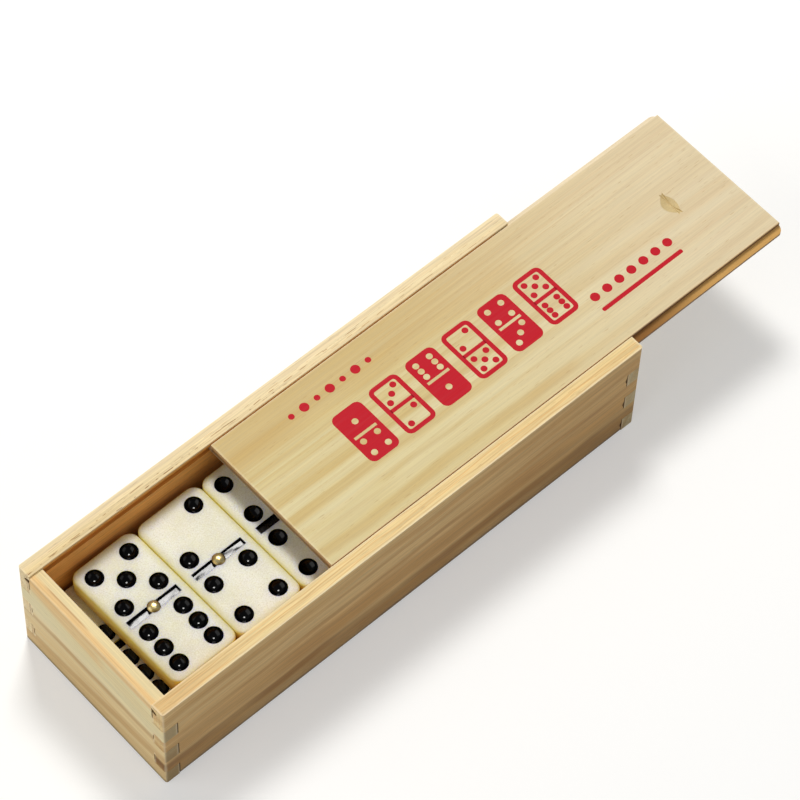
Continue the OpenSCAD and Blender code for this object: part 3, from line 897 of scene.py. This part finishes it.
def printed_motif():
    parts = []
    for i, pair in enumerate([(1, 4), (3, 2), (6, 1), (2, 5), (4, 3), (5, 6)]):
        place = (LID_NEAR + 37 + i * 14.4, 0.5)
        parts += [solid_domino(pair, place)] if i % 2 == 0 else outlined_domino(pair, place)
    for i in range(7):
        parts.append(flat_dot(1.55 if i % 2 else 1.0, (LID_NEAR + 24 + i * 5.0, 18.5)))
    for i in range(7):
        parts.append(flat_dot(1.55, (LID_NEAR + 120 + i * 5.0, -9.5)))
    parts.append(flat_plate(33.0, 1.4, 0.6, (LID_NEAR + 135, -14.5)))
    motif = joined("printed_motif", parts)
    bpy.ops.object.mode_set(mode="EDIT")
    bpy.ops.mesh.select_all(action="SELECT")
    bpy.ops.mesh.normals_make_consistent(inside=False)
    done()
    bpy.ops.object.modifier_add(type="SOLIDIFY")
    motif.modifiers[-1].thickness = 0.03 * MM
    motif.modifiers[-1].offset = 0.0
    bpy.ops.object.modifier_apply(modifier=motif.modifiers[-1].name)
    return motif


MOTIF = printed_motif()
painted(MOTIF, INK)
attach(MOTIF, "lid")


# Tiles

def pip_places(pair):
    places = []
    for half, count in ((HALF_Y, pair[0]), (-HALF_Y, pair[1])):
        places += [(a * PIP_PITCH, half + b * PIP_PITCH) for a, b in spots(count)]
    return places


def blank_tile():
    """Tile before its pips are cut."""
    tile = block("blank_tile", (-TILE_W / 2, -TILE_L / 2, 0), (TILE_W / 2, TILE_L / 2, TILE_T))
    ease(tile, lambda a, b: abs(a[0] - b[0]) < 0.01 and abs(a[1] - b[1]) < 0.01, TILE_CORNER, 10)
    ease(tile, lambda a, b: on_line(a, b, 2, TILE_T) or on_line(a, b, 2, 0), TILE_EDGE, 5)
    cut(tile, block("bar_cutter", (-BAR_L / 2, -BAR_W / 2, TILE_T - BAR_DEPTH),
                    (BAR_L / 2, BAR_W / 2, TILE_T + 1)))
    deselect()
    bpy.ops.mesh.primitive_cylinder_add(vertices=48, radius=(RIVET_R + 0.05) * MM, depth=2 * MM,
                                        location=(0, 0, (TILE_T - BAR_DEPTH + 1) * MM))
    return cut(tile, settle(bpy.context.object))


def map_from_above(tile):
    """Gives the tile a map of its own, in millimetres from its middle."""
    while tile.data.uv_layers:
        tile.data.uv_layers.remove(tile.data.uv_layers[0])
    chart = tile.data.uv_layers.new(name="tile_face")
    for corner in tile.data.loops:
        chart.data[corner.index].uv = tile.data.vertices[corner.vertex_index].co.xy / MM


def pip_ball():
    deselect()
    bpy.ops.mesh.primitive_uv_sphere_add(segments=40, ring_count=40, radius=PIP_BALL * MM,
                                         location=(0, 0, (TILE_T + PIP_BALL - PIP_DEPTH) * MM))
    return settle(bpy.context.object)


def pip_cap(ball):
    """Thin bowl of lacquer that lines one pip."""
    cap = copy_of(ball)
    settle(cap)
    bpy.ops.object.mode_set(mode="EDIT")
    bpy.ops.mesh.select_all(action="SELECT")
    bpy.ops.mesh.bisect(plane_co=(0, 0, TILE_T * MM), plane_no=(0, 0, 1), clear_outer=True)
    done()
    bpy.ops.object.modifier_add(type="SOLIDIFY")
    cap.modifiers[-1].thickness = LACQUER_SKIN * MM
    cap.modifiers[-1].offset = -1.0
    bpy.ops.object.modifier_apply(modifier=cap.modifiers[-1].name)
    return cap


def bar_lining(side):
    """Black channel lining on one side of the rivet, open above."""
    x0, x1 = sorted((side * 1.6, side * BAR_L / 2))
    lining = block("bar_lining", (x0, -BAR_W / 2, TILE_T - BAR_DEPTH), (x1, BAR_W / 2, TILE_T))
    pick_faces(lining, lambda c, n: n[2] > 0.9)
    bpy.ops.mesh.delete(type="FACE")
    done()
    bpy.ops.object.modifier_add(type="SOLIDIFY")
    lining.modifiers[-1].thickness = LACQUER_SKIN * MM
    lining.modifiers[-1].offset = -1.0
    bpy.ops.object.modifier_apply(modifier=lining.modifiers[-1].name)
    return lining


def domed_rivet():
    """Rivet with a head raised ring by ring into a dome."""
    deselect()
    bpy.ops.mesh.primitive_cylinder_add(vertices=40, radius=RIVET_R * MM, depth=BAR_DEPTH * MM,
                                        location=(0, 0, (TILE_T - BAR_DEPTH / 2) * MM))
    rivet = settle(bpy.context.object)
    ball = (RIVET_R ** 2 + RIVET_H ** 2) / (2 * RIVET_H)
    pick_faces(rivet, lambda c, n: n[2] > 0.9)
    r = RIVET_R
    for step in range(1, 9):
        lift = math.asin(RIVET_R / ball) * (1 - step / 8.6)
        wanted = ball * math.sin(lift)
        rise = ball * (math.cos(lift) - 1) + RIVET_H
        before = ball * (math.sqrt(1 - (r / ball) ** 2) - 1) + RIVET_H
        bpy.ops.mesh.extrude_region_move(TRANSFORM_OT_translate={"value": (0, 0, (rise - before) * MM)})
        bpy.ops.transform.resize(value=(wanted / r, wanted / r, 1))
        r = wanted
    done()
    pick_faces(rivet, lambda c, n: n[2] < -0.9)
    bpy.ops.mesh.inset(thickness=1.0 * MM)
    bpy.ops.mesh.extrude_region_move(TRANSFORM_OT_translate={"value": (0, 0, -3.5 * MM)})
    done()
    return rivet


def top_row_place(i):
    """Place and turn of a top tile. The row runs slightly askew, and its near tiles are turned."""
    last = len(TOP_ROW) - 1
    x = CASE_L / 2 - WALL - TILE_GAP - TILE_W / 2 - (last - i) * (TILE_W + TILE_GAP)
    drift, turn = 1.2 * (1 - i / 3), math.radians((last - i) / last)
    return (x, drift, TOP_ROW_Z), turn


BLANK = blank_tile()
BALL = pip_ball()
CAP = pip_cap(BALL)
LININGS = [bar_lining(-1), bar_lining(1)]
RIVET = domed_rivet()
caps, rivets = [], []
for i, pair in enumerate(TOP_ROW):
    place, turn = top_row_place(i)
    tile = settle(copy_of(BLANK))
    holes = joined("pip_cutters", [copy_of(BALL, (x, y, 0)) for x, y in pip_places(pair)])
    cut(tile, holes)
    map_from_above(tile)
    tile.matrix_world = Matrix.Translation(Vector(place) * MM) @ Matrix.Rotation(turn, 4, "Z")
    settle(tile)
    smooth(tile, 30)
    tile.name = tile.data.name = "domino_%d_%d" % pair
    painted(tile, CREAM)
    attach(tile, "case")
    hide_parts("tile_%d_%d" % pair)
    own = [copy_of(CAP, (x, y, 0)) for x, y in pip_places(pair)] + [copy_of(l) for l in LININGS]
    own = joined("lacquer_of_one", own)
    own.matrix_world = Matrix.Translation(Vector(place) * MM) @ Matrix.Rotation(turn, 4, "Z")
    caps.append(settle(own))
    rivets.append(copy_of(RIVET, place, turn))
lacquer = smooth(joined("lacquer_top_row", caps), 40)
painted(lacquer, LACQUER, BAR_FLOOR)
for f in lacquer.data.polygons:
    level = f.center.z / MM - (TOP_ROW_Z + TILE_T - BAR_DEPTH)
    f.material_index = int(f.normal.z > 0.99 and 0 < level < 0.2)
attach(lacquer, "case")
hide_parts("lacquer_row_4")
domes = smooth(joined("rivets_top_row", rivets), 40)
painted(domes, BRASS)
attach(domes, "case")
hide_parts("rivets_row_4")
for spare in (BLANK, BALL, CAP, RIVET, *LININGS):
    bpy.data.objects.remove(spare)
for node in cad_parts:
    if node.startswith("tile_"):
        repaint(node, CREAM)
    elif node.startswith("rivets_"):
        repaint(node, BRASS)
    elif node.startswith("lacquer_"):
        repaint(node, LACQUER)


# Floor, light and camera

deselect()
bpy.ops.mesh.primitive_plane_add(size=6, location=(0, 0, -0.0002))
floor = bpy.context.object
floor.name = floor.data.name = "floor"
settle(floor)
paper, tree, surface, _ = new_material("floor_paper")
surface.inputs["Base Color"].default_value = (0.62, 0.62, 0.61, 1)
surface.inputs["Roughness"].default_value = 0.9
surface.inputs["Specular IOR Level"].default_value = 0.1
glow = add(tree, "ShaderNodeEmission", Color=(1, 1, 1, 1), Strength=0.4)
ray = add(tree, "ShaderNodeLightPath").outputs
seen = maths(tree, "MAXIMUM", ray["Is Camera Ray"], ray["Is Glossy Ray"])
seen = maths(tree, "MAXIMUM", seen, ray["Is Transmission Ray"])
nothing = add(tree, "ShaderNodeEmission", Color=(0, 0, 0, 1), Strength=0.0)
lit = add(tree, "ShaderNodeMixShader", i0=seen, i1=nothing.outputs[0], i2=glow.outputs[0])
both = add(tree, "ShaderNodeAddShader", i0=surface.outputs[0], i1=lit.outputs[0])
tree.links.new(both.outputs[0], tree.nodes["Material Output"].inputs["Surface"])
painted(floor, paper)


def lamp(name, towards, distance, size, power, colour):
    light = bpy.data.lights.new(name, "AREA")
    light.size = size
    light.energy = power
    light.color = colour
    thing = bpy.data.objects.new(name, light)
    bpy.context.scene.collection.objects.link(thing)
    way = Vector(towards).normalized()
    thing.location = way * distance
    thing.rotation_euler = way.to_track_quat("Z", "Y").to_euler()


lamp("key_light", (0.27, 0.38, 0.88), 1.4, 0.36, 14.0, (1.0, 0.985, 0.96))
lamp("left_fill", (-0.86, 0.16, 0.42), 1.5, 1.7, 13.0, (1.0, 0.99, 0.975))
lamp("front_fill", (0.45, -0.81, 0.36), 1.5, 1.3, 3.8, (1.0, 0.98, 0.95))

world = bpy.data.worlds.new("studio")
bpy.context.scene.world = world
world.use_nodes = True
world.node_tree.nodes["Background"].inputs["Color"].default_value = (1, 1, 1, 1)
world.node_tree.nodes["Background"].inputs["Strength"].default_value = 0.15

camera_data = bpy.data.cameras.new("camera")
camera_data.lens = 173.24
camera_data.sensor_width = 36
camera_data.clip_start = 0.05
camera = bpy.data.objects.new("camera", camera_data)
bpy.context.scene.collection.objects.link(camera)
right = Vector((0.74336053, -0.66843711, 0.02463631))
up = Vector((0.55902787, 0.64106893, 0.52585022))
back = Vector((-0.36729138, -0.37712391, 0.85022032))
spot = Vector((-0.388457, -0.424181, 1.002096))
camera.matrix_world = Matrix([[right[k], up[k], back[k], spot[k]] for k in range(3)] + [[0, 0, 0, 1]])
bpy.context.scene.camera = camera
bpy.context.scene.view_settings.view_transform = "Standard"
